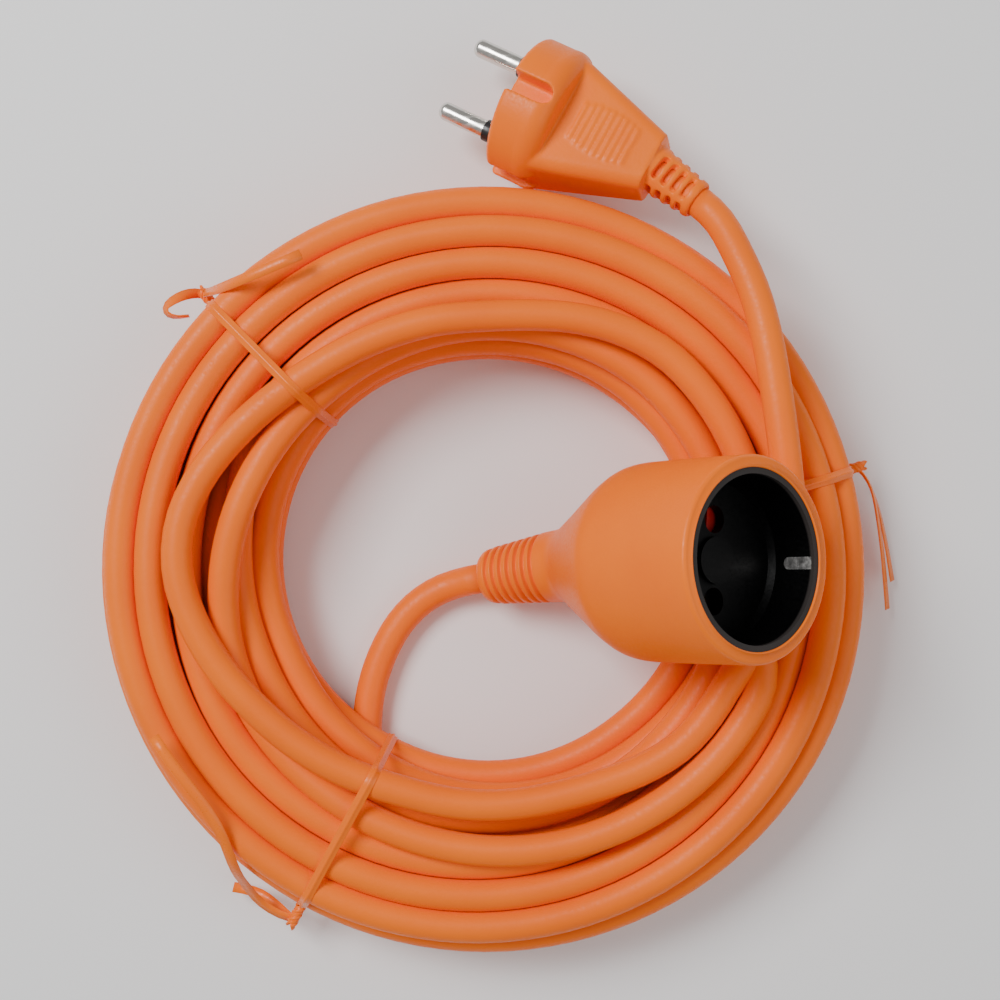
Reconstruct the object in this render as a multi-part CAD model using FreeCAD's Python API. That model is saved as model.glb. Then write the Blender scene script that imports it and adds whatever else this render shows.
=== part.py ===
"""Coiled two-core extension cord: contour plug, shuttered round socket, cord, coil and twist ties.

Millimetres, +Z up, the floor at Z = 0. The plug and the socket are built lying along X, pins and
mouth towards +X, pin line along Y, and are then put in place. At the end the whole model is moved
so that the origin lies on the floor under the middle of its bounding box.
"""
import FreeCAD, Part
import os
from math import cos, pi, radians, sin, tan
from FreeCAD import Placement, Rotation, Vector

# ---- cord ----
cord_d = 7.8                 # round sheath over two cores
core_d = 2.9                 # one insulated core
core_gap = 0.2               # between the two cores where they leave the sheath
bend_share = 0.45            # share of the shorter run that an arc may use

# ---- coil ----
coil_centre = Vector(-4.5, -18.6, 0)
coil_outer_r = 98.5
drawn_outer_r = 98.5         # the coil that the places of the plug, its cord and the ties' tails suit
coil_hole_r = 51.0
coil_hole_shift = Vector(2.2, 4.4, 0)    # the hole lies off the middle of the outside
coil_height = 37.0
coil_foot_inset = 9.0        # from the outer and inner edge to the flat foot
coil_side_z = 13.0           # height of the widest place

# ---- plug, seen along its pins: a round base, then a flat tapering grip ----
pin_pitch = 19.0
pin_d = 4.8
pin_length = 19.0            # from the front face
pin_dome = 1.6
pin_shank_start = 5.5        # full thickness from here, just clear of the collar
plug_base_d = 36.8
plug_base_rim = 8.0          # straight part of the base's side
plug_base_back = 13.5        # depth where the base ends
plug_back_d = 31.0
plug_front_chamfer = 0.8
notch_width = 5.2            # one above and one below, between the pins
notch_depth = 5.6
notch_length = 12.0
guide_width = 6.4            # grooves at both ends of the pin line
guide_depth = 2.6
grip_start = 10.5
grip_end = 39.2
grip_start_size = (32.8, 20.4)
grip_end_size = (15.6, 14.0)
grip_corner = 3.4
pad_ribs = 9
pad_pitch = 1.8
pad_middle = 25.5            # distance of the pad's middle behind the front face
pad_width = 12.0
rib_width = 0.8
rib_height = 0.45
plug_boot_length = 15.2
plug_boot_start_d = 12.8
plug_boot_end_d = 9.9
plug_boot_bend = 11.0        # the boot is pulled aside, in degrees
window_rows = 4
window_length = 1.5
window_pitch = 2.95
window_first = 2.6
window_width = 6.2
bridge_size = (6.0, 27.0, 9.0)
bridge_front = 3.0
collar_d = 5.6
collar_proud = 5.3
crimp_d = 4.2
crimp_length = 7.0
plug_sheath_start = 29.0

# ---- where the plug lies ----
plug_front = (5.5, 101.6, 18.4)
plug_heading = 151.8
plug_nose_down = 13.4
plug_roll = 2.8

# ---- socket ----
socket_rim_d = 47.4
socket_belly_d = 47.9
socket_rim_edge = 1.0
shoulder_start = 33.5
shoulder_end = 40.0
shoulder_end_d = 43.4
cone_end = 62.4
cone_end_d = 20.0
neck_bend = 63.0             # where the axis turns down into the boot
neck_ball_d = 19.4
ring_d = 41.4                # dark insert, flush with the rim
ring_recess = 0.4
well_d = 38.6
well_depth = 13.8
well_floor = 2.5
well_corner = 1.7            # slope where the well's wall meets its floor
boss_d = 11.0
boss_height = 1.2
pin_hole_d = 6.4
chamber_d = 33.0             # shutter chamber behind the floor of the well
chamber_depth = 3.0
carrier_d = 30.0
carrier_flange = 2.0
carrier_length = 18.0
cover_thickness = 2.0
contact_d = 6.6
contact_clearance = 0.05     # round a pin
contact_length = 14.0
contact_gap = 0.3            # behind the shutter chamber's back wall
contact_slit = 0.7
clip_width = 2.9
clip_thickness = 0.6
clip_start = 1.3             # below the rim
clip_end = 9.6
clip_peg = 1.5
socket_sheath_start = 56.0

# ---- shutter ----
shutter_thickness = 1.4
shutter_front_gap = 0.6
shutter_hub_d = 9.0
blade_inner_r = 3.6
blade_outer_r = 13.6
blade_gap = 4.0              # degrees between a pin hole's middle and the blade's edge
blade_span = 26.0            # whole angle of a blade
pivot_d = 3.0
pivot_clearance = 0.05
spring_wire_d = 0.4
spring_d = 6.4

# ---- socket boot ----
boot_end = Vector(-3.6, -20.4, 9.5)
boot_root_d = 19.0
boot_neck = 6.6              # from the bend to the first ring
boot_neck_d = 18.2
boot_small_d = 14.8
boot_nose_d = 8.8
boot_rings = 7
ring_pitch = 2.4
ring_groove = 0.9
ring_groove_depth = 1.4
nose_start = 23.0

# ---- where the socket lies ----
socket_front = Vector(57.9, -13.25, 71.7)
socket_heading = 4.4
socket_mouth_up = 51.4
socket_roll = -7.2

# ---- cord routes, from each connector to the coil ----
plug_cord_points = [(58.4, 61.2, 36.6), (62.6, 50.4, 39.6), (65.2, 38.6, 41.6), (67.0, 26.4, 42.9),
                    (68.6, 14.2, 43.4), (70.0, 2.5, 43.1), (70.8, -8.5, 39.8), (70.4, -18.5, 34.0)]
plug_cord_lead = 6.0         # straight out of the boot before the first bend
socket_cord_points = [(-19.4, -25.4, 4.6), (-26.2, -31.6, 4.6), (-31.0, -39.8, 4.6),
                      (-34.2, -48.8, 4.6), (-35.6, -58.2, 4.6), (-35.2, -67.6, 4.6)]
socket_cord_lead = 8.5

# ---- twist ties ----
tie_width = 2.6
tie_thickness = 0.6
tie_slack = 0.3              # between a tie and the coil
tie_angles = {"tie_upper_left": 135.2, "tie_lower_left": 241.5, "tie_right": 15.5}
tie_tails = {
    "tie_upper_left": [[(-82.5, 51.8, 21.0), (-86.0, 48.6, 22.0), (-83.4, 46.2, 22.0),
                        (-79.6, 47.6, 21.0)],
                       [(-69.0, 53.0, 33.5), (-60.0, 56.0, 38.6), (-49.6, 60.6, 38.9)]],
    "tie_lower_left": [[(-59.6, -106.6, 9.0), (-65.0, -103.6, 7.0), (-71.0, -103.0, 6.0)],
                       [(-62.5, -106.0, 13.0), (-65.6, -98.9, 20.0), (-66.4, -93.0, 30.5),
                        (-69.2, -80.4, 36.6), (-76.0, -70.4, 38.7), (-80.8, -64.2, 39.0),
                        (-84.9, -58.0, 38.8)]],
    "tie_right": [[(97.6, 3.6, 13.0), (100.0, -6.0, 10.0), (101.8, -17.0, 8.0),
                   (103.0, -29.0, 7.0)],
                  [(99.0, 2.4, 9.0), (102.4, -8.0, 6.0), (104.8, -21.6, 5.0)]],
}
tie_facets = 15              # points along each curve of a tie's band

# ---- worked out from the above ----
cord_r = cord_d / 2
pin_y = pin_pitch / 2
ring_r = ring_d / 2
floor_front = -well_depth
floor_back = floor_front - well_floor
carrier_front = floor_back - chamber_depth
carrier_back = carrier_front - carrier_length
contact_front = carrier_front - contact_gap
contact_back = contact_front - contact_length
crimp_back = carrier_back - cover_thickness - crimp_d / 2
core_y = (core_d + core_gap) / 2
X, Y, Z = Vector(1, 0, 0), Vector(0, 1, 0), Vector(0, 0, 1)
socket_place = Placement(socket_front, Rotation(socket_heading, -socket_mouth_up, socket_roll))
sides = {"left": 1, "right": -1}


def beside_coil(x, y, z):
    """Place given for a coil of drawn_outer_r, moved out or in with the coil's own size."""
    spread = coil_outer_r / drawn_outer_r
    place = Vector(x, y, z)
    across = place - coil_centre
    across.z = 0
    return place + across * (spread - 1)


def placed(shape, place):
    """A copy of shape moved by place."""
    moved = shape.copy()
    moved.Placement = place.multiply(moved.Placement)
    return moved


plug_place = Placement(beside_coil(*plug_front), Rotation(plug_heading, plug_nose_down, plug_roll))


def revolved(profile):
    """Solid of a closed outline turned about X.

    A step of the outline is a point (x, r), reached by a line, or a pair of points, the middle
    and the end of an arc.
    """
    edges = []
    start = Vector(*profile[0], 0)
    for step in profile[1:] + profile[:1]:
        if isinstance(step[0], tuple):
            middle, end = (Vector(*point, 0) for point in step)
            edges.append(Part.Arc(start, middle, end).toShape())
        else:
            end = Vector(*step, 0)
            edges.append(Part.LineSegment(start, end).toShape())
        start = end
    return Part.Face(Part.Wire(edges)).revolve(Vector(0, 0, 0), X, 360)


def rod(x0, x1, d, y=0.0, z=0.0):
    """Round rod along X."""
    return Part.makeCylinder(d / 2, abs(x1 - x0), Vector(min(x0, x1), y, z), X)


def block(x0, x1, width, height, y=0.0, z=0.0):
    """Box between x0 and x1, centred on (y, z)."""
    low = Vector(min(x0, x1), y - width / 2, z - height / 2)
    return Part.makeBox(abs(x1 - x0), width, height, low)


def fused(shapes):
    """One solid out of shapes that overlap."""
    return shapes[0].multiFuse(shapes[1:]).removeSplitter()


def route_wire(points):
    """Straight runs joined by tangent arcs, and the radii of the arcs."""
    edges, radii = [], []
    start = points[0]
    for before, corner, after in zip(points, points[1:], points[2:]):
        back, on = before - corner, after - corner
        half_turn = (pi - back.getAngle(on)) / 2
        reach = bend_share * min(back.Length, on.Length)
        radius = reach / tan(half_turn)
        back.normalize()
        on.normalize()
        first, last = corner + back * reach, corner + on * reach
        middle = corner + (back + on).normalize() * (radius / cos(half_turn) - radius)
        edges.append(Part.LineSegment(start, first).toShape())
        edges.append(Part.Arc(first, middle, last).toShape())
        radii.append(radius)
        start = last
    edges.append(Part.LineSegment(start, points[-1]).toShape())
    return Part.Wire(edges), radii


def tube(name, points, d):
    """Round tube along a route; prints its length, arc radii and volume check."""
    path, radii = route_wire(points)
    ring = Part.Circle(points[0], points[1] - points[0], d / 2).toShape()
    solid = path.makePipeShell([Part.Wire(ring)], True, True)
    ratio = solid.Volume / (pi * d * d / 4 * path.Length)
    arcs = ", ".join(f"{radius:.1f}" for radius in radii)
    print(f"{name}: length {path.Length:.1f}, volume ratio {ratio:.4f}, arc radii {arcs}")
    return solid


def rounded_section(x, width, height, corner):
    """Rounded rectangle across X."""
    a, b = width / 2 - corner, height / 2 - corner
    slant = corner * cos(pi / 4)
    edges = []
    quarters = [(1, 1), (-1, 1), (-1, -1), (1, -1)]
    for index, (sy, sz) in enumerate(quarters):
        side = Vector(x, sy * (a + corner), sz * b)
        cap = Vector(x, sy * a, sz * (b + corner))
        start, end = (side, cap) if sy == sz else (cap, side)
        middle = Vector(x, sy * (a + slant), sz * (b + slant))
        edges.append(Part.Arc(start, middle, end).toShape())
        ny, nz = quarters[(index + 1) % 4]
        next_side = Vector(x, ny * (a + corner), nz * b)
        next_cap = Vector(x, ny * a, nz * (b + corner))
        edges.append(Part.LineSegment(end, next_side if ny == nz else next_cap).toShape())
    return Part.Wire(edges)


# ---- plug ----

def plug_base():
    """Round base with its notches and guide grooves."""
    r, back_r = plug_base_d / 2, plug_back_d / 2
    bulge = (-0.35 * plug_base_rim - 0.65 * plug_base_back, 0.8 * r + 0.2 * back_r)
    base = revolved([(0, 0), (0, r - plug_front_chamfer), (-plug_front_chamfer, r),
                     (-plug_base_rim, r), (bulge, (-plug_base_back, back_r)),
                     (-plug_base_back, 0)])
    round_x = -(notch_length - notch_width / 2)
    cuts = []
    for side in sides.values():
        middle_z = side * (r - notch_depth / 2 + 1)
        height = notch_depth + 2
        cuts.append(block(1, round_x, notch_width, height, z=middle_z))
        low = Vector(round_x, 0, middle_z - height / 2)
        cuts.append(Part.makeCylinder(notch_width / 2, height, low))
        cuts.append(block(1, -plug_base_back, guide_depth * 2, guide_width, y=side * r))
    return base.cut(cuts)


def plug_grip():
    """Flat tapering grip with a pad of fine ribs above and below."""
    wires = [rounded_section(-grip_start, *grip_start_size, grip_corner),
             rounded_section(-grip_end, *grip_end_size, grip_corner)]
    pieces = [Part.makeLoft(wires, True, True)]
    fall = (grip_start_size[1] - grip_end_size[1]) / 2 / (grip_end - grip_start)
    for index in range(pad_ribs):
        along = pad_middle + (index - (pad_ribs - 1) / 2) * pad_pitch
        surface = grip_start_size[1] / 2 - fall * (along - grip_start)
        inset = abs(index - (pad_ribs - 1) / 2) / pad_ribs
        height = 2 * (surface + rib_height)
        width = pad_width * (1 - inset * inset)
        pieces.append(block(-along - rib_width / 2, -along + rib_width / 2, width, height))
    return fused(pieces)


def plug_boot_place():
    """Frame of the plug's boot: along X from the grip, pulled aside towards the coil."""
    root = Placement(Vector(-grip_end + 1, 0, 0), Rotation(Z, 180 - plug_boot_bend))
    return plug_place.multiply(root)


def plug_boot():
    """Ladder-like strain relief with windows down to the sheath, along X."""
    r0, r1 = plug_boot_start_d / 2, plug_boot_end_d / 2
    boot = revolved([(-3, 0), (-3, r0), (0, r0), (plug_boot_length - 0.5, r1),
                     (plug_boot_length, r1 - 0.5), (plug_boot_length, 0)])
    cuts = []
    for row in range(window_rows):
        x0 = window_first + row * window_pitch
        for side in sides.values():
            middle = side * (cord_r + r0) / 2
            depth = r0 - cord_r + 0.6
            cuts.append(block(x0, x0 + window_length, depth, window_width, y=middle))
            cuts.append(block(x0, x0 + window_length, window_width, depth, z=middle))
    return boot.cut(cuts)


def plug_bridge():
    """Black carrier that holds the pins, with a collar round each."""
    length, width, height = bridge_size
    pieces = [block(-bridge_front, -bridge_front - length, width, height)]
    for side in sides.values():
        pieces.append(rod(-bridge_front - 1, collar_proud, collar_d, y=side * pin_y))
    return fused(pieces)


def plug_pin(side):
    """Round pin with a domed tip and a crimp tail for its core."""
    r, tail_r = pin_d / 2, crimp_d / 2
    bridge_back = -bridge_front - bridge_size[0]
    pin = revolved([(bridge_back - crimp_length, 0), (bridge_back - crimp_length, tail_r),
                    (pin_shank_start, tail_r), (pin_shank_start, r), (pin_length - pin_dome, r),
                    ((pin_length - 0.35 * pin_dome, 0.78 * r), (pin_length, 0.3 * r)),
                    (pin_length, 0)])
    pin.translate(Vector(0, side * pin_y, 0))
    return pin


def core_points(side, start, end):
    """Route of a core from a crimp to the sheath, at x = start and x = end."""
    lead = (start - end) / 4
    return [Vector(start, side * pin_y, 0), Vector(start - lead, side * pin_y, 0),
            Vector(end + lead, side * core_y, 0), Vector(end, side * core_y, 0)]


# ---- socket ----

def socket_shell():
    """Outside of the socket's moulding, up to the bend before its boot."""
    rim_r, belly_r = socket_rim_d / 2, socket_belly_d / 2
    end_r, cone_r = shoulder_end_d / 2, cone_end_d / 2
    edge = socket_rim_edge
    slant = edge * (1 - cos(pi / 4))
    shoulder_x = -(shoulder_start + shoulder_end) / 2
    return revolved([(0, 0), (0, rim_r - edge), ((-slant, rim_r - slant), (-edge, rim_r)),
                     (-shoulder_start, belly_r),
                     ((shoulder_x, (belly_r + end_r) / 2 + 0.6), (-shoulder_end, end_r)),
                     (-cone_end, cone_r), (-cone_end, 0)])


def boot_place():
    """Frame of the socket's boot: along X from the bend to the cord's exit."""
    bend = socket_place.multVec(Vector(-neck_bend, 0, 0))
    return Placement(bend, Rotation(X, boot_end - bend)), (boot_end - bend).Length


def socket_boot(length):
    """Ringed strain relief along X, with a rounded nose."""
    step = (boot_neck_d - boot_small_d) / 2 / (nose_start - boot_neck)
    profile = [(-4, 0), (-4, boot_root_d / 2), (0.5, boot_root_d / 2), (boot_neck, boot_neck_d / 2)]
    for ring in range(boot_rings):
        x0 = boot_neck + 1 + ring * ring_pitch
        r = boot_neck_d / 2 - step * (x0 - boot_neck)
        profile += [(x0, r), (x0, r - ring_groove_depth), (x0 + ring_groove, r - ring_groove_depth),
                    (x0 + ring_groove, r - step * ring_groove)]
    small_r, nose_r = boot_small_d / 2, boot_nose_d / 2
    middle = (nose_start + 0.75 * (length - nose_start), small_r - 0.36 * (small_r - nose_r))
    profile += [(nose_start, small_r), (middle, (length, nose_r)), (length, 0)]
    return revolved(profile)


def side_clip(side):
    """Strip let flush into the well's wall, round at its inner end, with an anchor peg."""
    well_r, outer_r = well_d / 2, well_d / 2 + clip_thickness
    half = clip_width / 2
    middle_z = side * well_r
    strip = block(-clip_start, -clip_end + half, clip_width, 4, z=middle_z)
    low = Vector(-clip_end + half, 0, middle_z - 2)
    outline = strip.fuse(Part.makeCylinder(half, 4, low))
    skin = rod(0, -well_depth, 2 * outer_r).cut(rod(0, -well_depth, well_d))
    peg_x = -clip_start - 3
    depth = ring_r - 0.2 - well_r
    peg = block(peg_x, peg_x - clip_peg, clip_peg, depth - 0.2, z=side * (ring_r - 0.2 - depth / 2))
    return fused([skin.common(outline), peg])


def socket_insert():
    """Dark cup: ring, well with its floor and boss, and the wall of the shutter chamber."""
    well_r, chamber_r = well_d / 2, chamber_d / 2
    boss_front = floor_front + boss_height
    cup = revolved([(boss_front, 0), (boss_front, boss_d / 2), (floor_front, boss_d / 2),
                    (floor_front, well_r - well_corner / 2), (floor_front + well_corner, well_r),
                    (-ring_recess, well_r), (-ring_recess, ring_r),
                    (carrier_front, ring_r), (carrier_front, chamber_r), (floor_back, chamber_r),
                    (floor_back, 0)])
    cuts = [rod(floor_front, floor_back, pin_hole_d, y=side * pin_y) for side in sides.values()]
    cuts += [side_clip(side) for side in sides.values()]
    return cup.cut(cuts + [shutter_pivot()])


def contact_carrier():
    """Block behind the shutter with a chamber for each contact."""
    carrier = revolved([(carrier_front, 0), (carrier_front, ring_r),
                        (carrier_front - carrier_flange, ring_r),
                        (carrier_front - carrier_flange, carrier_d / 2),
                        (carrier_back, carrier_d / 2), (carrier_back, 0)])
    cuts = [shutter_pivot()]
    for side in sides.values():
        cuts.append(rod(carrier_front, contact_back, contact_d + 0.2, y=side * pin_y))
        cuts.append(rod(contact_back, carrier_back, crimp_d + 0.2, y=side * pin_y))
    return carrier.cut(cuts)


def carrier_cover():
    """Plate that closes the back of the carrier."""
    plate = rod(carrier_back, carrier_back - cover_thickness, carrier_d)
    holes = [rod(carrier_back, carrier_back - cover_thickness, crimp_d + 0.2, y=side * pin_y)
             for side in sides.values()]
    return plate.cut(holes)


def socket_contact(side):
    """Slit spring tube that grips a pin, with a crimp tail."""
    bore_d = pin_d + 2 * contact_clearance
    y = side * pin_y
    tail = rod(contact_back + 1, crimp_back, crimp_d, y=y)
    body = fused([rod(contact_front, contact_back, contact_d, y=y), tail])
    bore = rod(contact_front, contact_back + 1.5, bore_d, y=y)
    slit = block(contact_front, contact_back + 3, contact_slit, contact_d, y=y, z=contact_d / 2)
    return body.cut([bore, slit])


def shutter_pivot():
    """Pin that the shutter turns on, held by the well's floor and the carrier."""
    return rod(floor_front - 0.6, carrier_front - 3, pivot_d)


def shutter():
    """Hub with two blades, each over one half of a pin hole."""
    front = floor_back - shutter_front_gap
    thick = shutter_thickness
    pieces = [Part.makeCylinder(shutter_hub_d / 2, thick)]
    for side in sides.values():
        blade = Part.makeCylinder(blade_outer_r, thick, Vector(0, 0, 0), Z, blade_span)
        blade = blade.cut(Part.makeCylinder(blade_inner_r, thick))
        start = -blade_gap - blade_span + (0 if side > 0 else 180)
        blade.rotate(Vector(0, 0, 0), Z, start)
        pieces.append(blade)
    plate = fused(pieces).cut(Part.makeCylinder(pivot_d / 2 + pivot_clearance, thick))
    upright = Placement(Vector(front - thick, 0, 0), Rotation(Y, Z, X, "ZXY"))
    return placed(plate, upright)


def shutter_spring():
    """Open turn of wire round the pivot, with two short legs, behind the shutter."""
    x = (floor_back - shutter_front_gap - shutter_thickness + carrier_front) / 2
    corners = 10
    points = []
    for index in range(corners):
        angle = radians(60 + index * 300 / (corners - 1))
        points.append(Vector(x, spring_d / 2 * cos(angle), spring_d / 2 * sin(angle)))
    legs = [points[0] * 1.5, points[-1] * 1.5]
    for leg in legs:
        leg.x = x
    return tube("shutter_spring", legs[:1] + points + legs[1:], spring_wire_d)


# ---- coil and ties ----

def coil_blank():
    """Ring with a flat foot and rounded shoulders; the hole lies off its middle."""
    shoulder = coil_height - coil_side_z
    slant = shoulder * (1 - cos(pi / 4))
    foot = coil_foot_inset * (1 - cos(pi / 4))
    foot_z = coil_side_z * (1 - cos(pi / 4))
    outer, hole = coil_outer_r, coil_hole_r
    top, side = coil_height, coil_side_z
    disc = revolved([(0, 0), (0, outer - coil_foot_inset),
                     ((foot_z, outer - foot), (side, outer)),
                     ((top - slant, outer - slant), (top, outer - shoulder)), (top, 0)])
    tool = revolved([(0, 0), (0, hole + coil_foot_inset), ((foot_z, hole + foot), (side, hole)),
                     ((top - slant, hole + slant), (top, hole + shoulder)), (top, 0)])
    upright = Rotation(Y, -90)
    disc = placed(disc, Placement(coil_centre, upright))
    return disc.cut(placed(tool, Placement(coil_centre + coil_hole_shift, upright)))


def hoop(blank, angle, inner, outer, width):
    """Flat band round the ring's section at an angle, between two distances from it."""
    along = Vector(cos(radians(angle)), sin(radians(angle)), 0)
    normal = Vector(-along.y, along.x, 0)
    lift = tie_slack + tie_thickness
    raised = blank.common(Part.makeBox(400, 400, 200, Vector(-200, -200, lift)))
    start = coil_centre - normal * (width / 2)
    loops = raised.slice(normal, start.dot(normal))
    section = max(loops, key=lambda loop: loop.BoundBox.Center.dot(along))
    points = []
    for edge in section.OrderedEdges:
        run = edge.discretize(tie_facets)
        points += run[:0:-1] if edge.Orientation == "Reversed" else run[:-1]
    outline = Part.makePolygon(points + points[:1])
    inside = outline.makeOffset2D(inner) if inner else outline
    solids = [Part.Face(wire).extrude(normal * width)
              for wire in (outline.makeOffset2D(outer), inside)]
    return solids[0].cut(solids[1])


def tie_knot(angle):
    """Middle of a tie's twist, just outside the coil, and its solid."""
    along = Vector(cos(radians(angle)), sin(radians(angle)), 0)
    inner = coil_centre + along * (coil_outer_r + tie_slack + 0.1)
    inner.z = coil_side_z + 1
    twist = Part.makeCylinder(tie_width * 0.8, 2 * tie_width, inner, along)
    return inner + along * (1.6 * tie_width), twist


def ribbon(points):
    """Strip standing on its edge along a route of straight runs."""
    runs = [(end - start).cross(Z).normalize() for start, end in zip(points, points[1:])]
    sections = []
    for point, before, after in zip(points, runs[:1] + runs, runs + runs[-1:]):
        across = (before + after).normalize() * (tie_thickness / 2)
        rise = Z * (tie_width / 2)
        corners = [point - across - rise, point + across - rise,
                   point + across + rise, point - across + rise]
        sections.append(Part.makePolygon(corners + corners[:1]))
    return Part.makeLoft(sections, True, True)


def twist_tie(name, blank):
    """Closed band round the coil, its twist and its two tails."""
    angle = tie_angles[name]
    band = hoop(blank, angle, tie_slack, tie_slack + tie_thickness, tie_width)
    knot, twist = tie_knot(angle)
    pieces = [band, twist]
    for tail in tie_tails[name]:
        pieces.append(ribbon([knot] + [beside_coil(*point) for point in tail]))
    return fused(pieces)


def coil(blank):
    """The coil's outer shape, with a slot across its foot for each tie."""
    slots = []
    for angle in tie_angles.values():
        low = coil_centre + Vector(0, -tie_width / 2 - tie_slack, 0)
        slot = Part.makeBox(2 * coil_outer_r, tie_width + 2 * tie_slack, tie_slack + tie_thickness, low)
        slot.rotate(coil_centre, Z, angle)
        slots.append(slot)
    return blank.cut(slots)


# ---- the whole cord ----

def plug_nodes():
    """Everything moulded into and standing out of the plug."""
    place = plug_place
    pins = {f"plug_pin_{name}": placed(plug_pin(side), place) for name, side in sides.items()}
    tail = -bridge_front - bridge_size[0] - crimp_length
    cores = {}
    for name, colour in (("left", "brown"), ("right", "blue")):
        points = core_points(sides[name], tail, -plug_sheath_start)
        node = f"plug_core_{colour}"
        cores[node] = tube(node, [place.multVec(point) for point in points], core_d)
    boot = plug_boot_place()
    exit_point = boot.multVec(Vector(plug_boot_length, 0, 0))
    sheath_route = [place.multVec(Vector(-plug_sheath_start, 0, 0)), boot.Base, exit_point]
    sheath = tube("plug_sheath_end", sheath_route, cord_d)
    bridge = placed(plug_bridge(), place).cut(list(pins.values()))
    body = fused([placed(plug_base(), place), placed(plug_grip(), place), placed(plug_boot(), boot)])
    body = body.cut([bridge, sheath] + list(pins.values()) + list(cores.values()))
    lead = exit_point + boot.Rotation.multVec(X) * plug_cord_lead
    route = [exit_point, lead] + [beside_coil(*point) for point in plug_cord_points]
    return {"plug_body": body, "plug_bridge": bridge, **pins, **cores, "plug_sheath_end": sheath,
            "plug_cord": tube("plug_cord", route, cord_d)}


def socket_nodes():
    """The socket's moulding, its dark inner parts, its shutter and its cord."""
    place = socket_place
    parts = {"socket_insert": socket_insert(), "contact_carrier": contact_carrier(),
             "carrier_cover": carrier_cover(), "shutter": shutter(),
             "shutter_spring": shutter_spring(), "shutter_pivot": shutter_pivot()}
    for name, side in sides.items():
        parts[f"socket_contact_{name}"] = socket_contact(side)
    parts["side_clip_upper"] = side_clip(1)
    parts["side_clip_lower"] = side_clip(-1)
    parts = {name: placed(shape, place) for name, shape in parts.items()}
    cores = {}
    for name, colour in (("left", "brown"), ("right", "blue")):
        points = core_points(sides[name], crimp_back, -socket_sheath_start)
        node = f"socket_core_{colour}"
        cores[node] = tube(node, [place.multVec(point) for point in points], core_d)
    boot, length = boot_place()
    sheath_route = [place.multVec(Vector(-socket_sheath_start, 0, 0)), boot.Base, boot_end]
    sheath = tube("socket_sheath_end", sheath_route, cord_d)
    neck = Part.makeSphere(neck_ball_d / 2, boot.Base)
    jacket = fused([placed(socket_shell(), place), neck, placed(socket_boot(length), boot)])
    hollow = [rod(0, carrier_front - carrier_flange, ring_d),
              rod(carrier_front, carrier_back - cover_thickness, carrier_d)]
    hollow += [rod(carrier_back, crimp_back, crimp_d, y=side * pin_y) for side in sides.values()]
    hollow = [placed(shape, place) for shape in hollow]
    jacket = jacket.cut(hollow + [sheath] + list(cores.values()))
    lead = boot_end + boot.Rotation.multVec(X) * socket_cord_lead
    route = [boot_end, lead] + [Vector(*point) for point in socket_cord_points]
    return {"socket_jacket": jacket, **parts, **cores, "socket_sheath_end": sheath,
            "socket_cord": tube("socket_cord", route, cord_d)}


def coil_nodes():
    """The coil and the ties that hold it."""
    blank = coil_blank()
    ties = {name: twist_tie(name, blank) for name in tie_angles}
    return {"cord_coil": coil(blank), **ties}


def main():
    """Builds every node, stands the model over the origin and writes it."""
    nodes = {**plug_nodes(), **socket_nodes(), **coil_nodes()}
    box = FreeCAD.BoundBox()
    for shape in nodes.values():
        box.add(shape.optimalBoundingBox(False, False))
    shift = Vector(-box.Center.x, -box.Center.y, 0)
    print(f"box {box.XLength:.1f} x {box.YLength:.1f} x {box.ZMax:.1f}, lowest {box.ZMin:.3f}")
    print(f"moved by {shift.x:.3f}, {shift.y:.3f}")
    os.makedirs("parts", exist_ok=True)
    for name, shape in nodes.items():
        solids = len(shape.Solids)
        print(f"{name}: {solids} solid, valid {shape.isValid()}, volume {shape.Volume:.1f}")
        final = placed(shape, Placement(shift, Rotation()))
        (final.Solids[0] if solids == 1 else final).exportStep(f"parts/{name}.step")
    shank_middle = (pin_shank_start + pin_length - pin_dome) / 2
    mates = {"pin_left": (plug_place, shank_middle, pin_y),
             "pin_right": (plug_place, shank_middle, -pin_y),
             "well": (socket_place, (floor_front + well_corner - ring_recess) / 2, 0),
             "hole_left": (socket_place, (floor_front + floor_back) / 2, pin_y),
             "hole_right": (socket_place, (floor_front + floor_back) / 2, -pin_y),
             "shutter_pivot": (socket_place, floor_back, 0)}
    for name, (place, x, y) in mates.items():
        point = (place.multVec(Vector(x, y, 0)) + shift) * 0.001
        axis = place.Rotation.multVec(X)
        print(f"{name}: at ({point.x:.6f}, {point.y:.6f}, {point.z:.6f}) m, "
              f"axis ({axis.x:.6f}, {axis.y:.6f}, {axis.z:.6f})")


main()
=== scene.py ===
"""Looks of a coiled extension cord with its plug, its shuttered socket and its twist ties.

Sizes and route points are millimetres in the design frame of the part, whose zero lies a
millimetre or so from the row frame's; metres() takes a point into the row frame. Angles and turns
are degrees, and only CORD_LENGTH_M is in metres.
"""
from math import atan2, cos, hypot, pi, radians, sin

import bmesh
import bpy
import numpy as np
from mathutils import Matrix, Vector
from mathutils.geometry import convex_hull_2d


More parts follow.
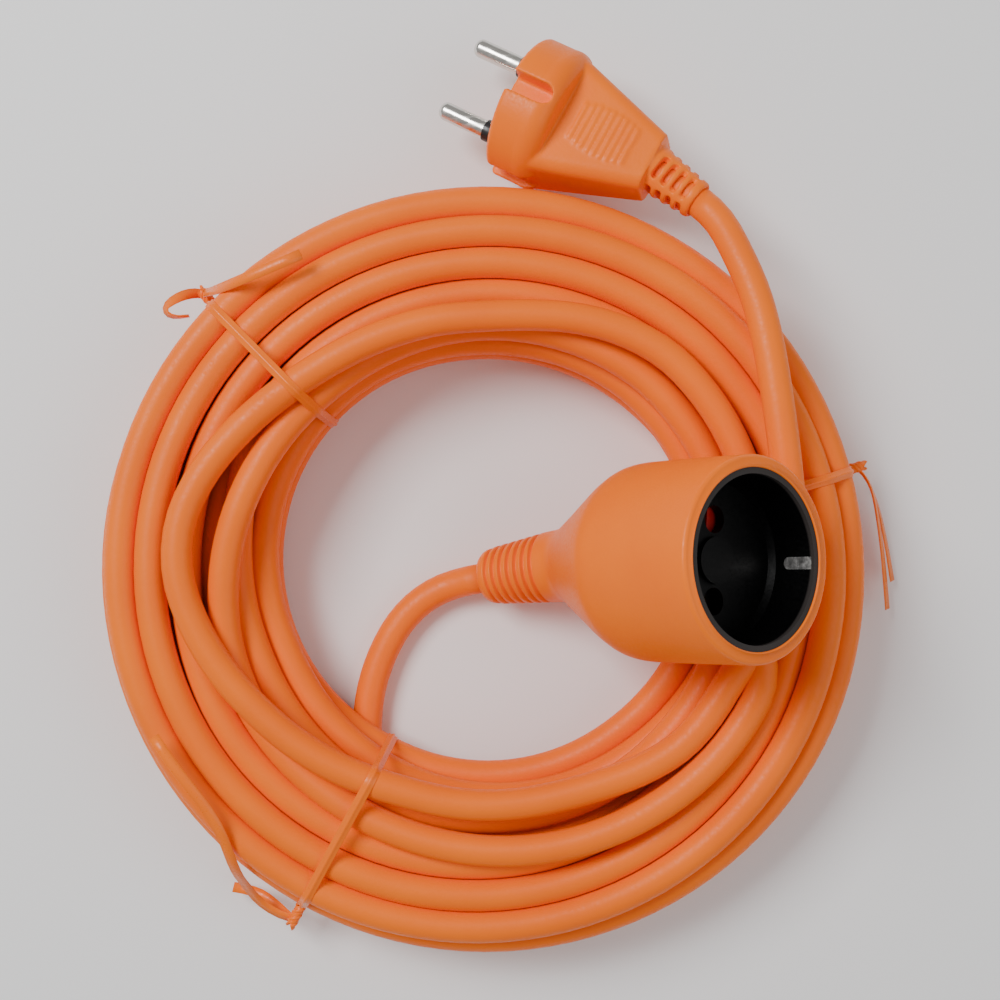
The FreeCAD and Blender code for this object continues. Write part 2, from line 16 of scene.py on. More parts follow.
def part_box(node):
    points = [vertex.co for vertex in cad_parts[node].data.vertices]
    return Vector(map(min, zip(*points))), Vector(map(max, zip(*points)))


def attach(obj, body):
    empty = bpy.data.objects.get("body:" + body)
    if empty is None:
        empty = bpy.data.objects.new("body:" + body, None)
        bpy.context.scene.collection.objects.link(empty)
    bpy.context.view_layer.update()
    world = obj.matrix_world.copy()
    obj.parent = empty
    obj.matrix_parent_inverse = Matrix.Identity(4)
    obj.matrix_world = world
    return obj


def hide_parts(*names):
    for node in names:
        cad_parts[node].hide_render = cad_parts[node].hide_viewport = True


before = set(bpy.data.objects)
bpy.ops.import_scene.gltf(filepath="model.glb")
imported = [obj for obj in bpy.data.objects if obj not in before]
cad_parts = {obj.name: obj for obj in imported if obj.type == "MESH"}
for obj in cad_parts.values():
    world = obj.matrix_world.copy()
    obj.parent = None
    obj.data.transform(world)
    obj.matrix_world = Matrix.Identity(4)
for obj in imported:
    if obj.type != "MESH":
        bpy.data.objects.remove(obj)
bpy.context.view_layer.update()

MM = 0.001

# ---- coil, in the design frame ----
COIL_CENTRE = Vector((-4.5, -18.6, 0.0))
COIL_REACH = (97.85, 100.45)     # half width and half length of the wound turns
HOLE_R = 51.0
HOLE_SHIFT = (2.2, 4.4)          # from the coil's centre
HOLE_LEFT = 3.6                  # the hole is this much wider on its left
CORD_D = 7.8

# ---- plug and socket, in the design frame ----
PLUG_FRONT = (5.5, 101.6, 18.4)
PLUG_TURNS = (151.8, 13.4, 2.8)      # heading, nose down, roll
PLUG_BOOT_START = -38.2
PLUG_BOOT_LENGTH = 15.2
PLUG_BOOT_BEND = 11.0
SOCKET_FRONT = (57.9, -13.25, 71.7)
SOCKET_TURNS = (4.4, -51.4, -7.2)
SOCKET_BEND = 63.0                   # depth at which the axis turns into the boot
SOCKET_BOOT_END = Vector((-3.6, -20.4, 9.5))

coil_low, coil_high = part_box("cord_coil")
SHIFT = (Vector(coil_low) + Vector(coil_high)) / 2 / MM - COIL_CENTRE
SHIFT.z = 0.0


def metres(point):
    """A design point in millimetres as a point of the row frame."""
    return (Vector(point) + SHIFT) * MM


def place_of(front, turns):
    """Matrix from a connector's own frame, pins or mouth along +X, to the design frame."""
    heading, pitch, roll = (radians(turn) for turn in turns)
    turned = (Matrix.Rotation(heading, 4, "Z") @ Matrix.Rotation(pitch, 4, "Y")
              @ Matrix.Rotation(roll, 4, "X"))
    return Matrix.Translation(front) @ turned


plug_place = place_of(PLUG_FRONT, PLUG_TURNS)
socket_place = place_of(SOCKET_FRONT, SOCKET_TURNS)
socket_bend = socket_place @ Vector((-SOCKET_BEND, 0, 0))
boot_place = plug_place @ Matrix.Translation((PLUG_BOOT_START, 0, 0)) \
    @ Matrix.Rotation(radians(180 - PLUG_BOOT_BEND), 4, "Z")

# ---- camera ----
CAMERA_HEIGHT = 415.0
CAMERA_LENS = 55.3


def add_camera():
    """Camera straight above, with the plug's end of the coil at the top of the frame."""
    data = bpy.data.cameras.new("camera")
    data.lens = CAMERA_LENS
    data.clip_start = 0.01
    camera = bpy.data.objects.new("camera", data)
    camera.location = metres((0, 0, CAMERA_HEIGHT))
    bpy.context.collection.objects.link(camera)
    bpy.context.scene.camera = camera


add_camera()

# ---- the cord: one line from the socket's boot, round the coil, to the plug's boot ----
CORD_SIDES = 24
SOCKET_LEAD = 8.5
SOCKET_CORD = [(-19.4, -25.4, 4.6), (-26.2, -31.6, 4.6), (-31.0, -39.8, 4.6), (-34.2, -48.8, 4.6),
               (-35.6, -58.2, 4.6), (-35.2, -67.6, 4.6)]
PLUG_CORD = [(70.8, -8.5, 39.8), (70.0, 2.5, 43.1), (68.6, 14.2, 43.4), (67.0, 26.4, 42.9),
             (65.2, 38.6, 41.6), (62.6, 50.4, 39.6), (58.4, 61.2, 36.6)]
PLUG_LEAD = 6.0
FIRST_ANGLE = 250            # where the socket's cord joins the turns, in degrees about the coil
LAST_TURN = 22               # the winding ends at this many whole turns
STATIONS = 36                # places round the coil at which the turns are settled
ROWS = [5, 6, 5, 4, 3]       # turns side by side, from the floor up
ROW_RISE = 7.1
COLUMN_PITCH = 8.0
NOMINAL_WIDTH = 47.5         # width of the coil's section for which the columns are pitched
FLOOR_GAP = 0.7              # under the lowest turns
TOP_HEIGHT = 34.5            # no turn's centre lies higher
ENTRY_STEPS = 5              # stations that the socket's cord takes to join the turns
ENTRY_R = 63.5
LOOP_HEIGHT = 32.0           # where the loop that lies on top starts to settle from
LOOP_PULL = 0.35
LAST_PLACE = (75.0, 34.0)    # radius and height at which the winding ends
SETTLE_ROUNDS = 420
CALM_ROUNDS = 60             # the last rounds, with gentler moves
CLOSENESS = 1.01             # distance kept between turns, in cord thicknesses
PUSH = 0.8
LIFT = 0.15                  # a later turn is nudged upwards off an earlier one
WANDER_SIZES = (0.4, 1.1)    # least and most that the turns stray before they settle
WANDER_RATES = (2.3, 1.9)    # across and upwards
# where the turns lean out round the hole's shoulder, and in on the outside
SHOULDER_FROM, SHOULDER_RISE, SHOULDER_MOST = 13.0, 24.0, 0.86
FALL_FROM, FALL_SOFTNESS = 20.0, 34.0
TOP_LOOP = [(47.5, 9.0), (39.4, 27.5), (22.0, 38.6), (-4.9, 44.0), (-21.6, 42.0), (-39.1, 36.0),
            (-47.5, 30.2), (-57.0, 23.6), (-65.4, 16.4), (-72.6, 8.6), (-78.0, 0.2), (-81.6, -10.0),
            (-80.2, -22.0), (-74.0, -34.0), (-61.5, -50.5), (-49.2, -61.0), (-36.9, -67.7),
            (-24.6, -71.4), (0.0, -75.5), (24.6, -68.9), (46.8, -54.1), (59.1, -40.6),
            (67.5, -28.0)]


def hole_edge(angle):
    """Distance from the coil's centre to the edge of its hole, which is wider on the left."""
    dx, dy = HOLE_SHIFT
    along = dx * np.cos(angle) + dy * np.sin(angle)
    widened = HOLE_LEFT * np.clip(-np.cos(angle), 0, 1)
    return along + np.sqrt(along**2 + HOLE_R**2 - dx**2 - dy**2) + widened


def outer_edge(angle):
    """Distance from the coil's centre to its outside."""
    across, along = COIL_REACH
    return across * np.cos(angle)**2 + along * np.sin(angle)**2


def row_slots():
    """Where each turn starts, as a share of the section's width and a row, wound to and fro."""
    slots = []
    for row, count in enumerate(ROWS):
        columns = range(count) if row % 2 == 0 else reversed(range(count))
        slots += [((column - (count - 1) / 2) * COLUMN_PITCH, row) for column in columns]
    return slots


def settle(radius, height, angle, fixed, guide, guide_pull):
    """Turns pushed apart and smoothed at each station, so that they lie against each other.

    fixed marks the places that stay where they are, and guide and guide_pull draw the top loop
    towards its route. The last turn still cuts the one before it where they cross, under the
    socket's mouth.
    """
    count = len(radius)
    gap = CORD_D * CLOSENESS
    inner = hole_edge(angle) + CORD_D / 2
    outer = outer_edge(angle) - CORD_D / 2
    held_r, held_z = radius[fixed].copy(), height[fixed].copy()
    # the inner turns lean out most on the right, where the socket rests over the hole's edge
    room = 0.4 + 0.6 * np.clip((np.cos(angle - 0.1) - 0.2) / 0.5, 0, 1)
    turns = -(-count // STATIONS)
    pad = turns * STATIONS - count
    order = np.arange(turns)
    below = order[:, None] > order[None, :]
    for step in range(SETTLE_ROUNDS):
        calm = step >= SETTLE_ROUNDS - CALM_ROUNDS
        ease = 0.06 if calm else 0.30
        for line in (radius, height):
            line[1:-1] += ease * ((line[:-2] + line[2:]) / 2 - line[1:-1])
        pull = guide_pull * (0.3 if calm else 1)
        radius += pull * (guide - radius)
        for _ in range(2):
            r = np.append(radius, np.full(pad, 1e6)).reshape(turns, STATIONS)
            z = np.append(height, np.arange(pad) * 1e3 + 1e5).reshape(turns, STATIONS)
            dr = r[:, None] - r[None]
            dz = z[:, None] - z[None]
            apart = np.sqrt(dr**2 + dz**2) + 1e-6
            push = np.clip(gap - apart, 0, None) / apart / 2 * PUSH
            push[order, order] = 0
            r = r + (push * dr).sum(1)
            z = z + (push * (dz + LIFT * np.where(below[:, :, None], 1, -1))).sum(1)
            radius, height = r.reshape(-1)[:count].copy(), z.reshape(-1)[:count].copy()
            bulge = np.clip((height - SHOULDER_FROM) / SHOULDER_RISE, 0, SHOULDER_MOST)
            lean = (SHOULDER_RISE - SHOULDER_RISE * np.sqrt(1 - bulge**2)) * room
            fall = np.clip(height - FALL_FROM, 0, None)**2 / FALL_SOFTNESS
            radius = np.clip(radius, inner + lean, outer - fall)
            height = np.clip(height, CORD_D / 2 + FLOOR_GAP, TOP_HEIGHT)
            radius[fixed], height[fixed] = held_r, held_z
    return radius, height


def wound_turns():
    """Route points of the turns, worked out from rows of slots and settled."""
    draw = np.random.default_rng(7)
    slots = row_slots()
    steps = (LAST_TURN * 360 - FIRST_ANGLE) * STATIONS // 360
    index = np.arange(-ENTRY_STEPS, steps + 1)
    angle = np.radians(FIRST_ANGLE + index * 360 / STATIONS)
    turn = np.clip(index / STATIONS, 0, len(slots) - 1.001)
    low = turn.astype(int)
    share = turn - low
    slot_r, slot_row = np.array(slots).T
    across = slot_r[low] * (1 - share) + slot_r[low + 1] * share
    row = slot_row[low] * (1 - share) + slot_row[low + 1] * share
    middle = (hole_edge(angle) + outer_edge(angle)) / 2
    width = (outer_edge(angle) - hole_edge(angle)) / NOMINAL_WIDTH
    radius = middle + across * width
    height = CORD_D / 2 + FLOOR_GAP + row * ROW_RISE
    # the turns wander a little, as hand-wound ones do
    for wave in (1, 2, 3):
        phase, size = draw.uniform(0, 2 * pi, 2), draw.uniform(*WANDER_SIZES, 2) / wave
        radius += size[0] * np.sin(turn * wave * WANDER_RATES[0] + phase[0])
        height += size[1] * np.sin(turn * wave * WANDER_RATES[1] + phase[1])
    fixed = np.zeros(len(index), bool)
    entry = [(x - COIL_CENTRE.x, y - COIL_CENTRE.y) for x, y, _ in SOCKET_CORD]
    entry_angle = [atan2(y, x) + 2 * pi for x, y in entry]
    entry_r = [hypot(x, y) for x, y in entry]
    radius[:ENTRY_STEPS] = np.interp(angle[:ENTRY_STEPS], entry_angle, entry_r)
    height[:ENTRY_STEPS + 2] = CORD_D / 2 + FLOOR_GAP
    fixed[:ENTRY_STEPS + 1] = True
    radius[ENTRY_STEPS] = ENTRY_R
    guide = radius.copy()
    pull = np.zeros(len(index))
    loop = [(x - COIL_CENTRE.x, y - COIL_CENTRE.y) for x, y in TOP_LOOP]
    loop_angle = np.unwrap([atan2(y, x) for x, y in loop]) + 2 * pi * (LAST_TURN - 1)
    led = (angle >= loop_angle[0]) & (angle <= loop_angle[-1])
    guide[led] = np.interp(angle[led], loop_angle, [hypot(x, y) for x, y in loop])
    radius[led] = guide[led]
    height[led] = LOOP_HEIGHT
    pull[led] = LOOP_PULL
    radius[-1], height[-1] = LAST_PLACE
    fixed[-1] = True
    radius, height = settle(radius, height, angle, fixed, guide, pull)
    cut_in = 1 / cos(pi / STATIONS)      # a smooth curve cuts inside its route points
    points = []
    for place, r, z in list(zip(angle, radius, height))[ENTRY_STEPS:]:
        offset = Vector((cos(place), sin(place), 0)) * (r * cut_in)
        points.append(COIL_CENTRE + offset + Vector((0, 0, z)))
    return points, (angle[ENTRY_STEPS:], radius[ENTRY_STEPS:], height[ENTRY_STEPS:])


def cord_line(points, name):
    """Points along the smooth curve that a list of route points draws."""
    curve = bpy.data.curves.new(name, "CURVE")
    curve.dimensions = "3D"
    curve.resolution_u = 3
    spline = curve.splines.new("NURBS")
    spline.points.add(len(points) - 1)
    for point, place in zip(spline.points, points):
        point.co = (*metres(place), 1)
    spline.order_u = 3
    spline.use_endpoint_u = True
    holder = bpy.data.objects.new(name, curve)
    bpy.context.collection.objects.link(holder)
    depsgraph = bpy.context.evaluated_depsgraph_get()
    line = bpy.data.meshes.new_from_object(holder.evaluated_get(depsgraph))
    places = np.empty(len(line.vertices) * 3)
    line.vertices.foreach_get("co", places)
    bpy.data.objects.remove(holder)
    bpy.data.meshes.remove(line)
    return places.reshape(-1, 3)


def tube_mesh(name, line, radius, sides):
    """Closed round tube along a line, with lengths and turns as its UV map."""
    ahead = np.gradient(line, axis=0)
    ahead /= np.linalg.norm(ahead, axis=1)[:, None]
    side = np.cross(ahead[0], (0, 0, 1.0))
    sides_of = []
    for direction in ahead:
        side = side - direction * side.dot(direction)
        side /= np.linalg.norm(side)
        sides_of.append(side)
    across = np.array(sides_of)
    up = np.cross(ahead, across)
    turn = np.linspace(0, 2 * pi, sides, endpoint=False)
    ring = across[:, None] * np.cos(turn)[None, :, None] + up[:, None] * np.sin(turn)[None, :, None]
    places = (line[:, None] + ring * radius).reshape(-1, 3)
    rings = len(line)
    mesh = bpy.data.meshes.new(name)
    base = np.arange(rings - 1)[:, None] * sides
    here = np.arange(sides)[None]
    following = (here + 1) % sides
    quads = np.stack([base + here, base + sides + here, base + sides + following,
                      base + following], -1).reshape(-1, 4)
    faces = quads.tolist() + [list(range(sides)),
                              list(range(rings * sides - 1, (rings - 1) * sides - 1, -1))]
    mesh.from_pydata(places.tolist(), [], faces)
    reach = np.append(0, np.cumsum(np.linalg.norm(np.diff(line, axis=0), axis=1)))
    uv = mesh.uv_layers.new(name="along")
    along, round_it = np.broadcast_arrays(np.arange(rings - 1)[:, None], here)
    corners_u = np.stack([reach[along], reach[along + 1], reach[along + 1], reach[along]], -1)
    corners_v = np.stack([round_it, round_it, round_it + 1, round_it + 1], -1) / sides
    flat = np.stack([corners_u, corners_v], -1).reshape(-1)
    flat = np.append(flat, np.zeros(4 * sides))
    uv.data.foreach_set("uv", flat)
    mesh.shade_smooth()
    return mesh


def add_piece(name, mesh, body="cord_set"):
    """Object for a finished mesh, riding on a body."""
    piece = bpy.data.objects.new(name, mesh)
    bpy.context.collection.objects.link(piece)
    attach(piece, body)
    return piece


boot_end_lead = SOCKET_BOOT_END + (SOCKET_BOOT_END - socket_bend).normalized() * SOCKET_LEAD
plug_exit = boot_place @ Vector((PLUG_BOOT_LENGTH, 0, 0))
plug_lead = boot_place @ Vector((PLUG_BOOT_LENGTH + PLUG_LEAD, 0, 0))
turns, settled = wound_turns()
route = [SOCKET_BOOT_END, boot_end_lead] + SOCKET_CORD + turns + PLUG_CORD + [plug_lead, plug_exit]
line = cord_line(route, "cord_route")
cord = add_piece("cord", tube_mesh("cord", line, CORD_D / 2 * MM, CORD_SIDES))
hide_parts("cord_coil", "plug_cord", "socket_cord")


def mesh_of(name, vertices, faces):
    """Mesh of design points in millimetres, carried into the row frame."""
    mesh = bpy.data.meshes.new(name)
    places = (np.asarray(vertices, float) + np.array(SHIFT)) * MM
    mesh.from_pydata(places.tolist(), [], faces)
    mesh.shade_smooth()
    return mesh


def ring_faces(rings, sides, closed, start=0):
    """Quads between rings of points, and the two end faces of an open run."""
    faces = []
    for ring in range(rings if closed else rings - 1):
        here, following = start + ring * sides, start + (ring + 1) % rings * sides
        for side in range(sides):
            beside = (side + 1) % sides
            faces.append((here + side, here + beside, following + beside, following + side))
    if not closed:
        last = start + (rings - 1) * sides
        faces.append(tuple(range(start + sides - 1, start - 1, -1)))
        faces.append(tuple(range(last, last + sides)))
    return faces


def turned_outwards(mesh):
    """The mesh with all its faces pointing outwards."""
    shape = bmesh.new()
    shape.from_mesh(mesh)
    bmesh.ops.recalc_face_normals(shape, faces=shape.faces)
    shape.to_mesh(mesh)
    shape.free()
    return mesh


# ---- socket's moulding: a lathe along its bent axis ----
JACKET_SIDES = 144
RIM_R = 23.7
RIM_EDGE = 1.1
BORE_R = 20.7
JACKET_OUTSIDE = [(1.2, 23.7), (20.0, 23.95), (32.5, 23.95), (35.6, 23.6), (39.6, 21.9),
                  (50.0, 16.4), (60.0, 11.2), (62.0, 10.1), (64.5, 9.35), (70.0, 9.1), (86.4, 7.4),
                  (88.2, 7.2)]
JACKET_INSIDE = [(21.3, 20.75), (21.4, 15.05), (41.5, 15.05), (56.0, 4.0)]
LIP_EDGE = 0.45              # rounding of the bore's mouth
CORD_HOLE_R = 3.95           # from this depth on, through the boot
CORD_HOLE_START = 58.0
NOSE_START = 86.0
NOSE_R = 4.4
STRAIGHT_TO_BEND, BEND_TO_BOOT = 9.0, 7.0
SOFTENING = 1.3              # width over which corners of the outside are smoothed
RINGS = 7
RING_PITCH = 2.4
RING_FIRST = 70.9
RING_DEPTH = 1.35
RING_HALF = 0.52


def axis_frames(depths):
    """Centres and tangents of the socket's axis, bending into its boot."""
    inward = (socket_bend - Vector(SOCKET_FRONT)).normalized()
    outward = (SOCKET_BOOT_END - socket_bend).normalized()
    start = socket_bend - inward * STRAIGHT_TO_BEND
    end = socket_bend + outward * BEND_TO_BOOT
    centres, tangents = [], []
    for depth in depths:
        if depth < SOCKET_BEND - STRAIGHT_TO_BEND:
            centres.append(Vector(SOCKET_FRONT) + inward * depth)
            tangents.append(inward)
        elif depth > SOCKET_BEND + BEND_TO_BOOT:
            centres.append(end + outward * (depth - SOCKET_BEND - BEND_TO_BOOT))
            tangents.append(outward)
        else:
            t = (depth - SOCKET_BEND + STRAIGHT_TO_BEND) / (STRAIGHT_TO_BEND + BEND_TO_BOOT)
            centres.append(start * (1 - t)**2 + socket_bend * (2 * t * (1 - t)) + end * t**2)
            leaving, arriving = socket_bend - start, end - socket_bend
            tangents.append((leaving * (1 - t) + arriving * t).normalized())
    return centres, tangents


def jacket_profile():
    """Depths and radii of the socket's moulding, from the end of its bore round to its nose."""
    length = SOCKET_BEND + (SOCKET_BOOT_END - socket_bend).length
    # steps get finer where the outside turns, and finest over the rings
    depths = np.concatenate([np.arange(1.2, 31, 1.4), np.arange(31, 68, 0.5),
                             np.arange(68, NOSE_START, 0.14)])
    known, radii = np.array(JACKET_OUTSIDE).T
    reach = np.arange(-24, 25) / 10
    weight = np.exp(-(reach / SOFTENING)**2)
    spread = np.interp(depths[:, None] + reach, known, radii)
    outside = (spread * weight).sum(1) / weight.sum()
    for ring in range(RINGS):
        middle = RING_FIRST + ring * RING_PITCH
        outside -= RING_DEPTH * np.exp(-((depths - middle) / RING_HALF)**4)
    turn = np.radians(np.linspace(0, 90, 9))[:-1]
    rim = [(RIM_EDGE * (1 - sin(a)), RIM_R - RIM_EDGE * (1 - cos(a))) for a in turn[::-1]]
    lip = [(LIP_EDGE * (1 - cos(a)), BORE_R + LIP_EDGE * (1 - sin(a))) for a in turn[::-1]]
    nose = [(NOSE_START + (length - NOSE_START) * sin(a), NOSE_R + (outside[-1] - NOSE_R) * cos(a))
            for a in np.radians(np.linspace(4, 90, 16))]
    cord_hole = [(depth, CORD_HOLE_R) for depth in np.arange(CORD_HOLE_START, length, 2.0)]
    cord_hole.append((length, CORD_HOLE_R))
    return (cord_hole[::-1] + JACKET_INSIDE[::-1] + lip[::-1] + rim
            + list(zip(depths, outside)) + nose)


def add_jacket():
    """The socket's orange moulding, from its rim to the ringed boot."""
    profile = jacket_profile()
    centres, tangents = axis_frames([depth for depth, _ in profile])
    up = socket_place.to_3x3() @ Vector((0, 0, 1))
    vertices = []
    for (_, radius), centre, tangent in zip(profile, centres, tangents):
        side = tangent.cross(up).normalized()
        rise = side.cross(tangent)
        for index in range(JACKET_SIDES):
            angle = 2 * pi * index / JACKET_SIDES
            vertices.append(centre + (side * cos(angle) + rise * sin(angle)) * radius)
    faces = ring_faces(len(profile), JACKET_SIDES, True)
    mesh = turned_outwards(mesh_of("socket_moulding", vertices, faces))
    jacket = add_piece("socket_moulding", mesh)
    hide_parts("socket_jacket")
    return jacket


jacket = add_jacket()

# ---- plug's moulding ----
PLUG_VOXEL = 0.4
PLUG_SOFTENING = 5           # rounds of smoothing


def moulded_copy(node, name, voxel, rounds):
    """Copy of a CAD node's shape with the soft edges of a moulding."""
    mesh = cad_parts[node].data.copy()
    mesh.name = name
    shape = bmesh.new()
    shape.from_mesh(mesh)
    bmesh.ops.remove_doubles(shape, verts=shape.verts, dist=1e-6)
    shape.to_mesh(mesh)
    shape.free()
    holder = bpy.data.objects.new(name, mesh)
    bpy.context.collection.objects.link(holder)
    remesh = holder.modifiers.new("remesh", "REMESH")
    remesh.mode = "VOXEL"
    remesh.voxel_size = voxel * MM
    smooth = holder.modifiers.new("smooth", "SMOOTH")
    smooth.factor = 0.5
    smooth.iterations = rounds
    depsgraph = bpy.context.evaluated_depsgraph_get()
    soft = bpy.data.meshes.new_from_object(holder.evaluated_get(depsgraph))
    bpy.data.objects.remove(holder)
    soft.name = name
    soft.materials.clear()
    soft.shade_smooth()
    return soft


plug_mesh = moulded_copy("plug_body", "plug_moulding", PLUG_VOXEL, PLUG_SOFTENING)
plug = add_piece("plug_moulding", plug_mesh)
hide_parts("plug_body")

# ---- twist ties ----
TIE_SECTION = [(-1.3, 0.0), (1.3, 0.0), (1.34, 0.14), (1.2, 0.26), (0.5, 0.28), (0.3, 0.56),
               (0.0, 0.66), (-0.3, 0.56), (-0.5, 0.28), (-1.2, 0.26), (-1.34, 0.14)]
TIE_GAP = 0.03
STRAP_STEP = 2.0             # longest step along a band
BITE = 0.4                   # how far a twist starts inside the coil's outside
TWIST_LENGTH = 5.5
TWIST_R = 0.85
TWIST_TURNS = 1.25
TWIST_STEPS = 40
TIE_LEVEL = 14.0             # height of the twists above the floor
# angle round the coil, then each loose end: how it lies at its root, how far it turns over, route
TIES = {
    "tie_upper_left": (135.2, [
        (40, 150, [(-82.0, 53.0, 19.0), (-86.6, 49.6, 20.5), (-84.6, 46.4, 21.0),
                   (-79.8, 47.0, 21.0)]),
        (70, 25, [(-72.6, 52.6, 28.0), (-66.0, 53.6, 35.6), (-58.0, 56.2, 39.2),
                  (-48.6, 60.0, 40.2)])]),
    "tie_lower_left": (241.5, [
        (75, 40, [(-59.6, -106.6, 9.0), (-65.0, -103.6, 7.0), (-71.0, -103.0, 6.0)]),
        (60, 45, [(-62.5, -106.0, 13.0), (-65.6, -98.9, 20.0), (-66.4, -93.0, 30.5),
                  (-69.2, -80.4, 36.6), (-76.0, -70.4, 38.7), (-80.8, -64.2, 39.0),
                  (-84.9, -58.0, 38.8)])]),
    "tie_right": (15.5, [
        (10, 30, [(97.6, 3.6, 13.0), (100.0, -6.0, 10.0), (101.8, -17.0, 8.0),
                  (103.0, -29.0, 7.0)]),
        (0, 40, [(99.0, 2.4, 9.0), (102.4, -8.0, 6.0), (104.8, -21.6, 5.0)])]),
}


def strap(points, widths, outsides, closed):
    """Vertices and faces of the tie's section along points, lying to widths and outsides."""
    vertices = []
    for point, width, outside in zip(points, widths, outsides):
        vertices += [point + width * w + outside * h for w, h in TIE_SECTION]
    return vertices, ring_faces(len(points), len(TIE_SECTION), closed)


def band(angle, along, across):
    """Closed strap drawn tight round the settled turns at an angle."""
    wound, radius, height = settled
    passes = np.arange(np.ceil((wound[0] - angle) / (2 * pi)), (wound[-1] - angle) / (2 * pi))
    at = angle + 2 * pi * passes
    circle = np.linspace(0, 2 * pi, 28, endpoint=False)
    reach = CORD_D / 2 + TIE_GAP
    flat = [(r + reach * cos(a), z + reach * sin(a))
            for r, z in zip(np.interp(at, wound, radius), np.interp(at, wound, height))
            for a in circle]
    hull = [Vector(flat[index]) for index in convex_hull_2d([Vector(place) for place in flat])]
    points, outsides = [], []
    for here, following in zip(hull, hull[1:] + hull[:1]):
        pieces = max(1, int((following - here).length / STRAP_STEP))
        points += [here.lerp(following, step / pieces) for step in range(pieces)]
    for before, after in zip(points[-1:] + points[:-1], points[1:] + points[:1]):
        run = (after - before).normalized()
        outsides.append(along * run.y + Vector((0, 0, -run.x)))
    places = [COIL_CENTRE + along * point.x + Vector((0, 0, point.y)) for point in points]
    middle = sum(points, Vector((0, 0))) / len(points)
    spread = points[0] - middle
    facing = outsides[0].dot(along * spread.x + Vector((0, 0, spread.y)))
    if facing < 0:
        outsides = [-outside for outside in outsides]
    return strap(places, [across] * len(places), outsides, True)


def twist(start, along, across, phase):
    """One of the two ends of a tie where they are wound about each other."""
    points, widths, outsides = [], [], []
    rise = along.cross(across)
    slope = 2 * pi * TWIST_R * TWIST_TURNS / TWIST_LENGTH
    for step in range(TWIST_STEPS + 1):
        t = step / TWIST_STEPS
        angle = phase + t * 2 * pi * TWIST_TURNS
        out = across * cos(angle) + rise * sin(angle)
        round_it = rise * cos(angle) - across * sin(angle)
        points.append(start + along * (t * TWIST_LENGTH) + out * TWIST_R)
        widths.append((round_it * slope + along).normalized().cross(out))
        outsides.append(out)
    return strap(points, widths, outsides, False)


def tail(name, points, start, turn):
    """Loose end of a tie along its route, slowly turning over."""
    smooth = cord_line([Vector(point) for point in points], name) / MM - np.array(SHIFT)
    ahead = np.gradient(smooth, axis=0)
    places, widths, outsides = [], [], []
    for index, (place, run) in enumerate(zip(smooth, ahead)):
        run = Vector(run).normalized()
        flat = run.cross(Vector((0, 0, 1))).normalized()
        rise = flat.cross(run)
        angle = radians(start + turn * index / len(smooth))
        places.append(Vector(place))
        widths.append(rise * cos(angle) + flat * sin(angle))
        outsides.append(flat * cos(angle) - rise * sin(angle))
    return strap(places, widths, outsides, False)


def add_tie(name, angle, tails):
    """A twist tie: its band, its twist and its loose ends, as one piece."""
    turned = radians(angle)
    along = Vector((cos(turned), sin(turned), 0))
    across = Vector((-along.y, along.x, 0))
    start = COIL_CENTRE + along * (float(outer_edge(turned)) - BITE) + Vector((0, 0, TIE_LEVEL))
    end = start + along * (TWIST_LENGTH - 1)
    parts = [band(turned, along, across)]
    parts += [twist(start, along, across, phase) for phase in (0, pi)]
    for index, (lie, turn, points) in enumerate(tails):
        parts.append(tail(f"{name}_{index}", [end - along * 2, end] + points, lie, turn))
    vertices, faces = [], []
    for part_vertices, part_faces in parts:
        first = len(vertices)
        vertices += part_vertices
        faces += [tuple(first + corner for corner in face) for face in part_faces]
    mesh = turned_outwards(mesh_of(f"{name}_strap", vertices, faces))
    piece = add_piece(f"{name}_strap", mesh)
    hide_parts(name)
    return piece


ties = [add_tie(name, *facts) for name, facts in TIES.items()]

# ---- finishes ----
CUP_RIM_DEPTH = 1.2          # the cup keeps its own colour down to here, then painted shade fades in
RIM_FADE = 0.6
BUMP_HEIGHT = 0.1

